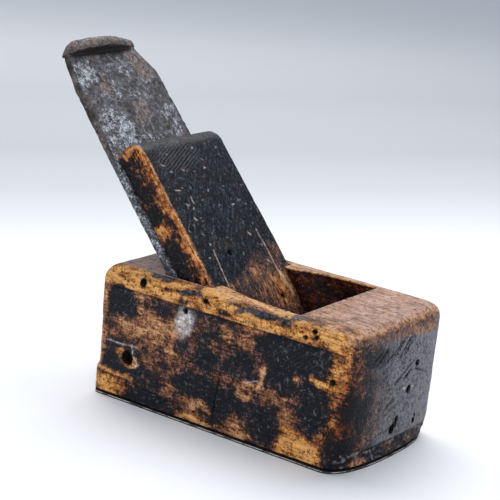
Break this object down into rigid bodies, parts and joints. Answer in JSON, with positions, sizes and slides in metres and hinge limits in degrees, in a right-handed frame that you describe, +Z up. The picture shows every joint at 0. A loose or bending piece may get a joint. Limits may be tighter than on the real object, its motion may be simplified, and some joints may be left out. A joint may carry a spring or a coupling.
{
  "type": "hand plane",
  "caption": "Small wooden hand plane with a single iron, a wooden wedge and a thin iron sole, for smoothing wood.",
  "frame": {"origin": "centre of the sole's underside", "axes": "+X towards the toe, +Y to the plane's left side, +Z up out of the stock"},
  "size_m": [0.1765, 0.073, 0.1504],
  "materials": {
    "stock_wood": "worn dark patina over orange brown wood",
    "wedge_wood": "worn dark patina with bright worn arrises",
    "iron_steel": "pitted grey steel with rust blotches",
    "sole_steel": "dull worn steel",
    "screw_steel": "dull worn steel"
  },
  "bodies": {
    "stock": {"stock": "stock_wood", "sole_plate": "sole_steel", "sole_screw_1": "screw_steel", "sole_screw_2": "screw_steel", "sole_screw_3": "screw_steel", "sole_screw_4": "screw_steel", "sole_screw_5": "screw_steel", "sole_screw_6": "screw_steel"},
    "iron": {"plane_iron": "iron_steel"},
    "wedge": {"wedge": "wedge_wood"}
  },
  "joints": [
    {"name": "iron_slide", "type": "slide", "parent": "stock", "child": "iron", "axis": [-0.6494, 0, 0.7604], "range_m": [-0.0015, 0.09]},
    {"name": "wedge_slide", "type": "slide", "parent": "stock", "child": "wedge", "axis": [-0.5592, 0, 0.829], "range_m": [0, 0.06]}
  ]
}
